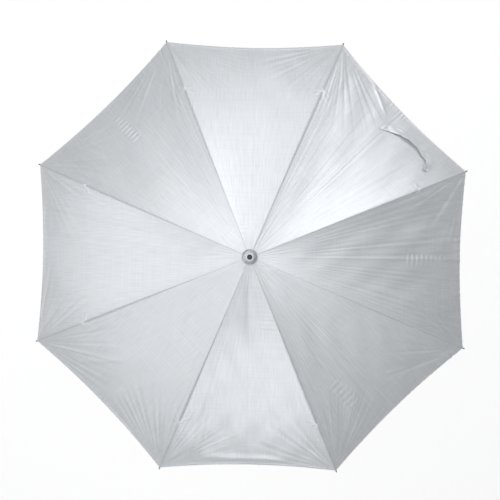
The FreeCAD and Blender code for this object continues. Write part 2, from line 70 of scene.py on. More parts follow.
pivotRadius = math.hypot(crownPivot[0], crownPivot[1])
crownHeight = crownPivot[2]
firstAzimuth = math.atan2(crownPivot[1], crownPivot[0])
ribCount = sum(name.startswith("rib_") for name in joints)
halfGore = math.pi / ribCount
ribAzimuths = [firstAzimuth + 2 * halfGore * number for number in range(ribCount)]
mm = 0.001


# Small helpers

def linear(hexCode):
    # sRGB hex to linear RGBA: c/12.92 below 0.04045, else ((c + 0.055)/1.055)^2.4
    parts = [int(hexCode[i:i + 2], 16) / 255 for i in (0, 2, 4)]
    return tuple(c / 12.92 if c <= 0.04045 else ((c + 0.055) / 1.055) ** 2.4 for c in parts) + (1.0,)


def smooth(low, high, x):
    # 0 below low, 1 above high, 3u^2 - 2u^3 between
    u = np.clip((x - low) / (high - low), 0, 1)
    return u * u * (3 - 2 * u)


def addNode(tree, kind, settings=None, links=None):
    # one shader node; settings name its sockets or properties, links feed its sockets
    node = tree.nodes.new(kind)
    for key, value in (settings or {}).items():
        if isinstance(key, int) or key in node.inputs:
            node.inputs[key].default_value = value
        else:
            setattr(node, key, value)
    for key, (source, output) in (links or {}).items():
        tree.links.new(source.outputs[output], node.inputs[key])
    return node


def newMaterial(name, settings):
    # a material, its node tree and its shader with these inputs set
    material = bpy.data.materials.new(name)
    material.use_nodes = True
    tree = material.node_tree
    shader = tree.nodes["Principled BSDF"]
    for key, value in settings.items():
        shader.inputs[key].default_value = value
    return material, tree, shader


def addPiece(name, points, faces, material, body, sharpAngle=None):
    # a smooth mesh from vertex rows (n x 3) and faces, an array of quads or a short list, riding on a body
    mesh = bpy.data.meshes.new(name)
    if isinstance(faces, list):
        mesh.from_pydata(points, [], faces)
    else:
        mesh.vertices.add(len(points))
        mesh.vertices.foreach_set("co", np.ascontiguousarray(points, np.float32).ravel())
        mesh.loops.add(faces.size)
        mesh.loops.foreach_set("vertex_index", faces.astype(np.int32).ravel())
        mesh.polygons.add(len(faces))
        mesh.polygons.foreach_set("loop_start", np.arange(0, faces.size, 4, dtype=np.int32))
    mesh.polygons.foreach_set("use_smooth", np.ones(len(faces), bool))
    mesh.update(calc_edges=True)
    mesh.validate()
    if sharpAngle is not None:
        mesh.set_sharp_from_angle(angle=math.radians(sharpAngle))
    mesh.materials.append(material)
    piece = bpy.data.objects.new(name, mesh)
    bpy.context.scene.collection.objects.link(piece)
    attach(piece, body)
    return piece


def gridQuads(rows, columns, offset=0, closedAcross=False):
    # quads between neighbours of a rows x columns grid; closedAcross joins the last column to the first
    i, j = np.meshgrid(np.arange(rows - 1), np.arange(columns - (0 if closedAcross else 1)), indexing="ij")
    right = (j + 1) % columns
    corners = [i * columns + j, i * columns + right, (i + 1) * columns + right, (i + 1) * columns + j]
    return offset + np.stack(corners, axis=-1).reshape(-1, 4)


def gridNormals(grid):
    # unit cross product of the grid's two central differences
    down = np.gradient(grid, axis=0)
    across = np.gradient(grid, axis=1)
    normal = np.cross(down, across)
    return normal / np.maximum(np.linalg.norm(normal, axis=-1, keepdims=True), 1e-12)


def sheetShell(grid, thickness):
    # a closed thin shell: the grid, its copy moved back along the normals, and a rim that joins them
    rows, columns = grid.shape[:2]
    normal = gridNormals(grid)
    points = np.concatenate([grid.reshape(-1, 3), (grid - normal * thickness).reshape(-1, 3)])
    count = rows * columns
    back = gridQuads(rows, columns) + count
    front = back[:, ::-1] - count
    ring = np.concatenate([np.arange(columns - 1), np.arange(rows - 1) * columns + columns - 1,
                           (rows - 1) * columns + np.arange(columns - 1, 0, -1),
                           np.arange(rows - 1, 0, -1) * columns])
    following = np.roll(ring, -1)
    rim = np.stack([ring, following, following + count, ring + count], axis=-1)
    return points, np.concatenate([front, back, rim])


def addClothMap(piece, u, v, quads):
    # the cloth layout of a small piece, in metres
    layer = piece.data.uv_layers.new(name="cloth")
    layer.data.foreach_set("uv", np.stack([u[quads], v[quads]], -1).astype(np.float32).ravel())


# Materials, each from what the real piece is made of

# weave: the soft mottling's scale (per metre), and how much weft and mottling add to the warp
weave = {"cloudScale": 14.0, "weftShare": 0.35, "cloudShare": 0.15, "relief": 0.00006}
# drawn lines: a row of stitches hemGap inside the edge, and the seam over each rib, darkened with painted
# shade. Each is full up to the first distance from its middle and gone at the second
sewnLine = {"hemGap": 0.007, "stitchPitch": 0.003, "hemEdge": (0.0003, 0.0008), "seamEdge": (0.0005, 0.0013),
            "seamPaintedShade": 0.2, "relief": 0.0002}


def makeSatin(name, warpMm, streakMm, colours, seamed):
    # silver-backed polyester satin: long warp floats give a soft half-metallic sheen with faint streaks. The
    # real floats are 0.1 mm apart and would not show, so they are drawn warpMm wide and streakMm long
    material, tree, shader = newMaterial(name, {"Metallic": 0.42, "IOR": 1.58, "Anisotropic": 0.3,
                                                "Sheen Weight": 0.06, "Sheen Roughness": 0.4})
    cloth = addNode(tree, "ShaderNodeUVMap", {"uv_map": "cloth"})
    place = addNode(tree, "ShaderNodeTexCoord")
    warpMap = addNode(tree, "ShaderNodeMapping", {"Scale": (1 / (warpMm * mm), 1 / (streakMm * mm), 1)},
                      {"Vector": (cloth, "UV")})
    warp = addNode(tree, "ShaderNodeTexNoise", {"Scale": 1.0, "Detail": 2.0, "Roughness": 0.6},
                   {"Vector": (warpMap, "Vector")})
    weftScale = (1 / (3 * streakMm * mm), 1 / (2 * warpMm * mm), 1)
    weftMap = addNode(tree, "ShaderNodeMapping", {"Scale": weftScale}, {"Vector": (cloth, "UV")})
    weft = addNode(tree, "ShaderNodeTexNoise", {"Scale": 1.0, "Detail": 1.0}, {"Vector": (weftMap, "Vector")})
    cloud = addNode(tree, "ShaderNodeTexNoise", {"Scale": weave["cloudScale"], "Detail": 3.0},
                    {"Vector": (place, "Object")})
    floats = addNode(tree, "ShaderNodeMath", {"operation": "MULTIPLY_ADD", 1: weave["weftShare"]},
                     {0: (weft, "Fac"), 2: (warp, "Fac")})
    mottled = addNode(tree, "ShaderNodeMath", {"operation": "MULTIPLY_ADD", 1: weave["cloudShare"]},
                      {0: (cloud, "Fac"), 2: (floats, "Value")})
    tone = addNode(tree, "ShaderNodeValToRGB", {}, {"Fac": (mottled, "Value")})
    tone.color_ramp.elements[0].position = 0.5
    tone.color_ramp.elements[0].color = linear(colours[0])
    tone.color_ramp.elements[1].position = 1.0
    tone.color_ramp.elements[1].color = linear(colours[1])
    rough = addNode(tree, "ShaderNodeMapRange", {"From Min": 0.3, "From Max": 0.7, "To Min": 0.38,
                                                 "To Max": 0.44}, {"Value": (cloud, "Fac")})
    bump = addNode(tree, "ShaderNodeBump", {"Strength": 0.35, "Distance": weave["relief"]},
                   {"Height": (floats, "Value")})
    colour = (tone, "Color")
    if seamed:
        # stitches in a row inside the hem, pulled a little below the cloth
        hem = addNode(tree, "ShaderNodeUVMap", {"uv_map": "hemLine"})
        split = addNode(tree, "ShaderNodeSeparateXYZ", {}, {"Vector": (hem, "UV")})
        offset = addNode(tree, "ShaderNodeMath", {"operation": "SUBTRACT", 1: sewnLine["hemGap"]},
                         {0: (split, "Y")})
        away = addNode(tree, "ShaderNodeMath", {"operation": "ABSOLUTE"}, {0: (offset, "Value")})
        full, gone = sewnLine["hemEdge"]
        line = addNode(tree, "ShaderNodeMapRange", {"From Min": full, "From Max": gone, "To Min": 1.0,
                                                    "To Max": 0.0}, {"Value": (away, "Value")})
        perMetre = 2 * math.pi / sewnLine["stitchPitch"]
        turns = addNode(tree, "ShaderNodeMath", {"operation": "MULTIPLY", 1: perMetre}, {0: (split, "X")})
        wave = addNode(tree, "ShaderNodeMath", {"operation": "SINE"}, {0: (turns, "Value")})
        dash = addNode(tree, "ShaderNodeMapRange", {"From Min": -0.6, "From Max": -0.2},
                       {"Value": (wave, "Value")})
        stitch = addNode(tree, "ShaderNodeMath", {"operation": "MULTIPLY"},
                         {0: (line, "Result"), 1: (dash, "Result")})
        sewn = addNode(tree, "ShaderNodeMix", {"data_type": "RGBA", "B": linear("C3C9CF")},
                       {"Factor": (stitch, "Value"), "A": colour})
        # the seam over each rib: a faint darker line of painted shade where the two gores turn under, also
        # pressed in as a dent
        rib = addNode(tree, "ShaderNodeUVMap", {"uv_map": "ribLine"})
        gap = addNode(tree, "ShaderNodeSeparateXYZ", {}, {"Vector": (rib, "UV")})
        full, gone = sewnLine["seamEdge"]
        seamShadeAndDent = addNode(tree, "ShaderNodeMapRange", {"From Min": full, "From Max": gone,
                                                      "To Min": sewnLine["seamPaintedShade"], "To Max": 0.0},
                         {"Value": (gap, "X")})
        # painted shade: the cloth's colour is mixed towards dark grey along the seam line
        joined = addNode(tree, "ShaderNodeMix", {"data_type": "RGBA", "B": linear("858B92")},
                         {"Factor": (seamShadeAndDent, "Result"), "A": (sewn, "Result")})
        dents = addNode(tree, "ShaderNodeMath", {"operation": "MAXIMUM"},
                        {0: (line, "Result"), 1: (seamShadeAndDent, "Result")})
        bump = addNode(tree, "ShaderNodeBump", {"Strength": 0.6, "Distance": sewnLine["relief"],
                                               "invert": True},
                       {"Height": (dents, "Value"), "Normal": (bump, "Normal")})
        colour = (joined, "Result")
    tree.links.new(colour[0].outputs[colour[1]], shader.inputs["Base Color"])
    tree.links.new(rough.outputs["Result"], shader.inputs["Roughness"])
    tree.links.new(bump.outputs["Normal"], shader.inputs["Normal"])
    tangent = addNode(tree, "ShaderNodeTangent", {"direction_type": "UV_MAP", "uv_map": "cloth"})
    tree.links.new(tangent.outputs["Tangent"], shader.inputs["Tangent"])
    return material


def makeHard(name, settings, colours, grainMm, roughness, bumpMm, stretch=(1, 1, 1)):
    # a metal or plastic: noise of grainMm, stretched along the way it was drawn or brushed, varies the colour
    # between two tones and the roughness between two values, and lifts the surface by bumpMm
    material, tree, shader = newMaterial(name, settings)
    place = addNode(tree, "ShaderNodeTexCoord")
    scale = [1 / (grainMm * mm * axis) for axis in stretch]
    mapping = addNode(tree, "ShaderNodeMapping", {"Scale": scale}, {"Vector": (place, "Object")})
    grain = addNode(tree, "ShaderNodeTexNoise", {"Scale": 1.0, "Detail": 4.0, "Roughness": 0.6},
                    {"Vector": (mapping, "Vector")})
    tone = addNode(tree, "ShaderNodeValToRGB", {}, {"Fac": (grain, "Fac")})
    tone.color_ramp.elements[0].position = 0.3
    tone.color_ramp.elements[0].color = linear(colours[0])
    tone.color_ramp.elements[1].position = 0.7
    tone.color_ramp.elements[1].color = linear(colours[1])
    rough = addNode(tree, "ShaderNodeMapRange", {"From Min": 0.3, "From Max": 0.7, "To Min": roughness[0],
                                                 "To Max": roughness[1]}, {"Value": (grain, "Fac")})
    bump = addNode(tree, "ShaderNodeBump", {"Strength": 0.5, "Distance": bumpMm * mm},
                   {"Height": (grain, "Fac")})
    tree.links.new(tone.outputs["Color"], shader.inputs["Base Color"])
    tree.links.new(rough.outputs["Result"], shader.inputs["Roughness"])
    tree.links.new(bump.outputs["Normal"], shader.inputs["Normal"])
    return material


satin = makeSatin("silver polyester satin", 1.3, 45, ("D3D7DB", "E4E7EA"), True)
strapSatin = makeSatin("doubled polyester satin", 0.9, 12, ("D8DBDE", "E9EBED"), False)
# clear anodised, drawn tube: a satin grey metal with lines along its length
anodised = makeHard("anodised aluminium, drawn", {"Metallic": 1.0}, ("B4B8BC", "CBCED1"), 0.5, (0.28, 0.42),
                    0.01, (1, 1, 60))
# soft black rubber, moulded: dull, slightly dusty black
rubber = makeHard("black rubber, moulded", {"IOR": 1.52}, ("17181A", "26282A"), 1.2, (0.6, 0.8), 0.03)
# zinc-plated bright wire: small sharp highlights
brightSteel = makeHard("bright steel wire", {"Metallic": 1.0}, ("C5C8CB", "DADCDE"), 0.4, (0.18, 0.3), 0.005)
# blued spring strip: darker and a little warmer than the wire
springSteel = makeHard("spring steel, tempered", {"Metallic": 1.0}, ("8D8C8B", "A7A5A2"), 0.6, (0.25, 0.4),
                       0.008, (1, 1, 12))
# black nickel over turned steel: dark grey with a soft metallic glint
darkNickel = makeHard("black nickel plate", {"Metallic": 1.0}, ("35383B", "54585C"), 0.7, (0.25, 0.38), 0.008)
# white nylon, injection moulded: milky, half matt, with light scattered just under the skin
nylon = makeHard("white nylon, moulded", {"IOR": 1.53, "Subsurface Weight": 0.15,
                                          "Subsurface Radius": (1, 0.9, 0.8), "Subsurface Scale": 0.0008},
                 ("DCDEDF", "ECEDEE"), 1.5, (0.32, 0.45), 0.015)
# pultruded fibreglass: pale rod with fine glass lines along it under a glossy resin skin
fibreglass = makeHard("pultruded fibreglass", {"IOR": 1.55, "Coat Weight": 0.3, "Coat Roughness": 0.15},
                      ("C9CCC6", "E1E3DD"), 0.5, (0.3, 0.45), 0.02)
# nickel plate over a steel rod: warm silver, fairly bright
stretcherNickel = makeHard("nickel-plated steel", {"Metallic": 1.0}, ("B9B8B4", "D0CFCB"), 0.8,
                           (0.2, 0.34), 0.008)
# calendered silver lame: pressed nearly flat, so it mirrors light and dark in hard-edged patches
lame = makeHard("calendered silver lame", {"Metallic": 0.6, "Coat Weight": 0.2, "Coat Roughness": 0.1},
                ("B4B9BE", "D4D8DB"), 0.8, (0.24, 0.34), 0.01)
# spun polyester thread: white, dull and slightly fuzzy
thread = makeHard("polyester sewing thread", {"IOR": 1.55, "Sheen Weight": 0.3}, ("D5D8DA", "E6E8EA"), 0.4,
                  (0.6, 0.75), 0.05)

cadFinishes = {"shaft_tube": anodised, "end_plug": rubber, "runner_stop_pin": brightSteel,
               "runner_stop_ring": brightSteel, "top_catch": springSteel, "catch_spring": springSteel,
               "top_notch": nylon, "notch_wire": brightSteel, "ferrule_collar": nylon, "ferrule": darkNickel,
               "runner": nylon, "runner_wire": brightSteel}
for number in range(1, ribCount + 1):
    cadFinishes.update({"rib_%d" % number: fibreglass, "rib_tip_%d" % number: darkNickel,
                        "rivet_%d" % number: brightSteel, "stretcher_%d" % number: stretcherNickel})
for node, material in cadFinishes.items():
    for holder in frame["nodes"][node].material_slots:
        holder.material = material
print("materials done")


# Canopy: eight pieces of one cover, each from the middle of a gore over its rib to the middle of the next

canopy = {
    "arcLength": 0.535,        # of the rib, from the notch wire to the hem
    "startSlope": 12.0,        # degrees below level at the crown, and at the hem
    "endSlope": 40.0,
    "lift": 0.0026,            # the cloth's outer face above the rib's middle line
    "thickness": 0.0003,
    "innerRadius": 0.0136,
    "sag": 0.0075,             # hollow of a gore between its ribs, half way out
    "hemPull": 0.0138,         # the hem's bow towards the crown in the middle of a gore
    "tackAt": 0.394,           # arc length at which thread ties the cloth to the rib
    "rows": 211, "columns": 181, "crowdAcross": 0.7, "crowdAlong": -0.10,
    "layoutShift": 0.3, "layoutStep": 2.0,     # m, across the rib and from gore to gore
    "kiteShare": 0.54,         # of a piece's flat rectangle that the piece fills
    "foldedShare": 0.147,      # of its width that a piece keeps when the frame is shut
}
seam = {"height": 0.0010, "width": 0.0018, "pucker": 0.00010, "puckerPitch": 0.010, "tackDepth": 0.0012}
hem = {"width": sewnLine["hemGap"], "step": 0.00035, "groove": 0.0003, "pucker": 0.00022,
       "puckerPitch": 0.011}
crown = {"gathers": 56, "height": 0.00055, "reach": 0.075}
drape = {"waves": 7, "length": (0.05, 0.16), "height": 0.0005, "streaks": 9, "streakLength": (0.010, 0.028),
         "streakHeight": 0.00005, "seed": 11}
# rays in radians from the rib's side of the corner; a crease starts and ends softly and widens outwards
fan = {"creases": 9, "spread": (-0.12, 0.62), "length": (0.05, 0.17), "width": (0.0022, 0.0060),
       "height": 0.00040, "rise": (0.35, 1.0), "start": 0.035, "fullShare": 0.45, "widenOver": 0.12,
       "streakShare": 0.3, "streakAngle": (0.05, 0.16), "streakEnd": (0.08, 0.26)}
# ironed fold down the middle of each gore: height of its ridge, below zero a valley
foldHeights = [0.0007, 0.0002, -0.0003, 0.0002, -0.00035, 0.0003, -0.0003, 0.0004]
fanStrengths = [1.5, 1.0, 0.9, 1.3, 0.9, 1.3, 0.8, 1.5]
# rows of short crinkles across a gore: gore, from and to (m from the shaft), sideways, pitch, reach, height
crinkleRows = [
    (0, 0.318, 0.413, 0.000, 0.0130, 0.011, 0.0005), (2, 0.386, 0.440, 0.000, 0.0055, 0.007, 0.0002),
    (2, 0.040, 0.074, 0.014, 0.0095, 0.008, 0.0005), (3, 0.336, 0.415, 0.000, 0.0110, 0.011, 0.0005),
    (4, 0.365, 0.412, 0.000, 0.0052, 0.007, 0.0003), (4, 0.030, 0.072, -0.008, 0.0062, 0.010, 0.0004),
    (6, 0.120, 0.156, 0.040, 0.0110, 0.016, 0.0004), (7, 0.300, 0.380, -0.060, 0.0150, 0.014, 0.0003),
]
# single creases: gore, start and end as (m from the shaft, m sideways), half width, height
singleCreases = [
    (1, (0.443, 0.090), (0.410, 0.012), 0.0030, 0.0016), (6, (0.020, 0.000), (0.170, 0.000), 0.0085, -0.0024),
    (0, (0.150, 0.020), (0.430, 0.075), 0.0045, 0.0004), (0, (0.120, -0.020), (0.400, -0.110), 0.005, 0.0004),
    (5, (0.425, -0.100), (0.330, -0.020), 0.006, 0.0006), (3, (0.420, 0.090), (0.330, 0.060), 0.005, 0.0005),
    (0, (0.437, -0.060), (0.432, 0.080), 0.0035, 0.0006), (6, (0.425, -0.110), (0.430, 0.110), 0.009, 0.0012),
]
startSlope = math.radians(canopy["startSlope"])
bendRadius = canopy["arcLength"] / math.radians(canopy["endSlope"] - canopy["startSlope"])
bendCentre = (pivotRadius - bendRadius * math.sin(startSlope),
              crownHeight - bendRadius * math.cos(startSlope))
sinHalf, cosHalf = math.sin(halfGore), math.cos(halfGore)


def ribLine(arc, lift):
    # radius, height and slope at an arc length: the bend's centre plus bendRadius + lift at that slope
    slope = startSlope + arc / bendRadius
    reach = bendRadius + lift
    return bendCentre[0] + reach * np.sin(slope), bendCentre[1] + reach * np.cos(slope), slope


def arcAt(radius, lift):
    # the inverse: arc length at which the rib's line is this far from the shaft
    return (np.arcsin((radius - bendCentre[0]) / (bendRadius + lift)) - startSlope) * bendRadius


def ridge(across, arc, start, end, width, height):
    # exp(-(distance / width)^2) from a straight line in the flat gore, faded over a third of it at each end
    length = math.dist(start, end)
    alongArc, alongSide = (end[0] - start[0]) / length, (end[1] - start[1]) / length
    along = (arc - start[0]) * alongArc + (across - start[1]) * alongSide
    off = (across - start[1]) * alongArc - (arc - start[0]) * alongSide
    ends = smooth(0, length / 3, along) * smooth(0, length / 3, length - along)
    return height * np.exp(-(off / width) ** 2) * ends


def ripple(x, lengths, count, rng):
    # a sum of count sines with random wavelengths and phases, about 1 high
    total = np.zeros_like(x)
    for wavelength in rng.uniform(*lengths, count):
        total += np.sin(2 * math.pi * x / wavelength + rng.uniform(0, 2 * math.pi))
    return total / math.sqrt(count / 2)


def tipFan(across, arc, side, tip, strength, rng):
    # creases that spread from a gore's corner: each is exp(-(sideways distance / width)^2) along its own ray
    alongHem = tip[1] - across * side
    inward = tip[0] - arc
    distance = np.hypot(alongHem, inward)
    angle = np.arctan2(np.abs(alongHem), inward)
    total = np.zeros_like(across)
    for _ in range(fan["creases"]):
        ray = halfGore + rng.uniform(*fan["spread"])
        reach = rng.uniform(*fan["length"]) * strength
        width = rng.uniform(*fan["width"])
        rise = rng.uniform(*fan["rise"]) * rng.choice((-1, 1)) * fan["height"]
        off = distance * np.sin(np.clip(angle - ray, -1.2, 1.2))
        body = smooth(0, fan["start"], distance) * (1 - smooth(fan["fullShare"] * reach, reach, distance))
        spread = width * (0.5 + distance / fan["widenOver"])
        total += rise * body * np.exp(-(off / spread) ** 2)
    streak = ripple(angle, fan["streakAngle"], 6, rng)
    faded = smooth(0.0, 0.05, distance) * (1 - smooth(*fan["streakEnd"], distance))
    total += fan["streakShare"] * fan["height"] * streak * faded
    return total * strength


def goreRelief(gore, across, arc, half, hemGap):
    # height of every wrinkle over the smooth gore, in the flat gore: across from its middle, arc from the
    # crown. A sum of waves, streaks, corner creases, the ironed fold, crinkles, seam, tack marks and hem
    rng = np.random.default_rng(drape["seed"] + gore)
    ribGap = half - np.abs(across)
    inside = smooth(0, 0.012, ribGap)
    total = np.zeros_like(across)
    for _ in range(drape["waves"]):
        wavelength, turn = rng.uniform(*drape["length"]), rng.uniform(-0.7, 0.7)
        phase = rng.uniform(0, 2 * math.pi)
        run = across * math.cos(turn) + arc * math.sin(turn)
        total += drape["height"] / 2.5 * np.sin(2 * math.pi * run / wavelength + phase)
    total *= smooth(0, 0.05, ribGap) * smooth(0.02, 0.15, arc) * smooth(0, 0.06, hemGap)
    # streaks lie along the rays from the crown, as the cloth is pulled outwards
    ray = across / np.maximum(half, 0.004) * 0.18
    streaks = ripple(ray, drape["streakLength"], drape["streaks"], rng)
    total += drape["streakHeight"] * fanStrengths[gore] ** 2 * streaks * inside * smooth(0.05, 0.2, arc)
    tip = (canopy["arcLength"], float(half.max()))
    for side in (-1, 1):
        corner = tipFan(across, arc, side, tip, fanStrengths[gore], rng)
        total += inside * corner * smooth(0, 0.03, across * side)
    # the ironed fold is a sharp ridge, exp(-|across| / width), a little uneven along its length
    fold = foldHeights[gore] * (1 + 0.3 * np.sin(arc / 0.037 + gore)) * smooth(0.03, 0.12, arc)
    total += fold * np.exp(-np.abs(across) / 0.0045)
    for place, start, end, sideways, pitch, reach, height in crinkleRows:
        if place == gore:
            first, last = arcAt(np.array([start, end]) / cosHalf, canopy["lift"])
            ends = smooth(first, first + pitch, arc) * smooth(0, pitch, last - arc)
            body = np.exp(-((across - sideways) / reach) ** 4)
            total += height * np.sin(2 * math.pi * (arc - first) / pitch) * ends * body
    for place, start, end, width, height in singleCreases:
        if place == gore:
            first, last = arcAt(np.array([start[0], end[0]]) / cosHalf, canopy["lift"])
            total += ridge(across, arc, (first, start[1]), (last, end[1]), width, height)
    # seam over the rib: a ridge as wide as the rod, puckered by its stitches, that ends at the tack
    grown = smooth(0.02, 0.30, arc) * (1 - smooth(canopy["tackAt"] - 0.006, canopy["tackAt"] + 0.002, arc))
    beyond = 0.35 * smooth(canopy["tackAt"], canopy["tackAt"] + 0.01, arc)
    width = seam["width"] * (0.55 + 0.6 * smooth(0.05, 0.4, arc))
    total += seam["height"] * (0.25 + 0.75 * grown + beyond) * np.exp(-(ribGap / width) ** 2)
    pucker = ripple(arc, (0.6 * seam["puckerPitch"], 1.5 * seam["puckerPitch"]), 6, rng)
    total += seam["pucker"] * pucker * np.exp(-ribGap / 0.010) * smooth(0, 0.004, ribGap)
    tackGap = np.hypot(ribGap, arc - canopy["tackAt"])
    total -= seam["tackDepth"] * np.exp(-(tackGap / 0.0045) ** 2)
    for turn in (-0.5, 0.35):
        off = ribGap * math.cos(turn) - (arc - canopy["tackAt"]) * math.sin(turn)
        run = ribGap * math.sin(turn) + (arc - canopy["tackAt"]) * math.cos(turn)
        ends = smooth(0, 0.004, off) * (1 - smooth(0.008, 0.026, off))
        total += 0.5 * seam["height"] * np.exp(-(run / 0.0022) ** 2) * ends
    # hem: the edge is folded twice, so it stands a step higher, with a groove where it is sewn
    total += hem["step"] * (1 - smooth(hem["width"] - 0.001, hem["width"] + 0.0005, hemGap))
    total -= hem["groove"] * np.exp(-((hemGap - hem["width"]) / 0.0009) ** 2)
    tuck = ripple(across, (0.7 * hem["puckerPitch"], 1.6 * hem["puckerPitch"]), 6, rng)
    total += hem["pucker"] * fanStrengths[gore] * tuck * np.exp(-hemGap / 0.012) * smooth(0, 0.01, ribGap)
    return total


def crownGathers(azimuth, radius):
    # the cloth is gathered under the rosette: two sines round the shaft that fade outwards
    waves = np.sin(crown["gathers"] * azimuth) + 0.6 * np.sin(1.55 * crown["gathers"] * azimuth + 1.0)
    faded = np.exp(-(radius / crown["reach"]) ** 1.5) * smooth(0.012, 0.03, radius)
    return crown["height"] * 0.5 * waves * faded


def turnAbout(points, azimuth):
    # points turned about Z by azimuth
    c, s = math.cos(azimuth), math.sin(azimuth)
    x, y, z = points[..., 0], points[..., 1], points[..., 2]
    return np.stack([c * x - s * y, s * x + c * y, z], axis=-1)


def goreFacing(slope, side):
    # outward normal of the gore beside a rib of this slope: along the gore's middle the tangent of the slope
    # is 1 / cosHalf times as much
    tilt = np.arctan(np.tan(slope) / cosHalf)
    return np.stack([np.sin(tilt) * cosHalf, side * np.sin(tilt) * sinHalf, np.cos(tilt)], -1)


def coverHalf(number, side, share, arcShare, relief=True):
    # half a piece, in its rib's own frame. The hoop line between two ribs is straight; the gore sags by
    # sag * 4w(1 - w) * (1 - (1 - share)^2) along its normal, and share runs from 0 on the rib to 1 mid gore
    bow = 1 - (1 - share) ** 2
    first = arcAt(canopy["innerRadius"], canopy["lift"])
    last = canopy["arcLength"] - canopy["hemPull"] * bow
    arc = first + (last - first) * arcShare
    radius, height, slope = ribLine(arc, canopy["lift"])
    points = np.stack([radius * (1 - share * sinHalf ** 2), side * radius * share * sinHalf * cosHalf,
                       height], -1)
    ribNormal = np.stack([np.sin(slope), 0 * slope, np.cos(slope)], -1)
    normal = ribNormal + (goreFacing(slope, side) - ribNormal) * smooth(0, 0.25, share)[..., None]
    normal /= np.linalg.norm(normal, axis=-1, keepdims=True)
    along = (arc - first) / (canopy["arcLength"] - first)
    hollow = canopy["sag"] * 4 * along * (1 - along) * bow
    across = -side * radius * sinHalf * (1 - share)
    lift = -hollow
    if relief:
        gore = (number + (side - 1) // 2 + 1) % ribCount
        azimuth = ribAzimuths[number] + np.arctan2(points[..., 1], points[..., 0])
        lift = lift + goreRelief(gore, across, arc, radius * sinHalf, last - arc)
        lift = lift + crownGathers(azimuth, radius)
    return points + normal * lift[..., None], across, arc, last - arc


def foldWithRib(piece):
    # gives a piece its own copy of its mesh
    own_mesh(piece)


def makeCover(number):
    # one piece of the cover: both its halves on one grid, made into a thin shell. Columns and rows crowd by
    # step - k sin(2 pi step) / (2 pi)
    half = canopy["columns"] // 2
    step = np.linspace(0, 1, half + 1)
    share = step - canopy["crowdAcross"] * np.sin(2 * math.pi * step) / (2 * math.pi)
    along = np.linspace(0, 1, canopy["rows"])
    along = along - canopy["crowdAlong"] * np.sin(2 * math.pi * along) / (2 * math.pi)
    shareGrid, arcGrid = np.meshgrid(share, along)
    right = coverHalf(number, 1, shareGrid, arcGrid)
    left = coverHalf(number, -1, shareGrid, arcGrid)
    joined = [np.concatenate([b[:, :0:-1], a], axis=1) for a, b in zip(right, left)]
    grid = turnAbout(joined[0], ribAzimuths[number])
    points, quads = sheetShell(grid, canopy["thickness"])
    name = "cloth_%d" % (number + 1)
    piece = addPiece(name, points, quads, satin, "rib_%d" % (number + 1), 35)
    # each side of the rib keeps its own gore's warp, so a corner takes the layout of its face's side
    count = len(points) // 2
    column = (quads % count) % canopy["columns"]
    onRight = (column.max(axis=1) > half)[:, None] & np.ones((1, 4), bool)
    across = joined[1].ravel()[quads % count]
    onRib = column == half
    across = np.where(onRib, np.where(onRight, -1, 1) * np.abs(across), across)
    arc, hemGap = joined[2].ravel()[quads % count], joined[3].ravel()[quads % count]
    gore = np.where(onRight, number + 1, number) % ribCount
    ribGap = ribLine(arc, 0)[0] * sinHalf - np.abs(across)
    shifted = across + canopy["layoutShift"]
    layouts = {"cloth": (shifted, arc + canopy["layoutStep"] * gore), "hemLine": (shifted, hemGap),
               "ribLine": (ribGap, arc)}
    for layer, (u, v) in layouts.items():
        uv = piece.data.uv_layers.new(name=layer)
        uv.data.foreach_set("uv", np.stack([u, v], -1).astype(np.float32).ravel())
    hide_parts("canopy_%d" % (number + 1))
    foldWithRib(piece)
    return piece


covers = [makeCover(number) for number in range(ribCount)]
print("canopy done, %d faces a piece" % len(covers[0].data.polygons))


# Rosette: a gathered disc of the cover's cloth that closes the crown under the collar

rosette = {"radius": 0.0158, "boss": 0.0056, "rise": 0.0011, "climb": 0.0018, "roll": 0.0008,
           "welt": (0.0072, 0.0008, 0.0008), "pleats": 13, "depth": 0.00015, "scallop": 0.012,
           "tilt": 0.07, "highSide": -0.6, "lowest": -0.0006, "segments": 360, "rows": 40,
           "curl": (0.8, -0.55), "curlRows": 19}


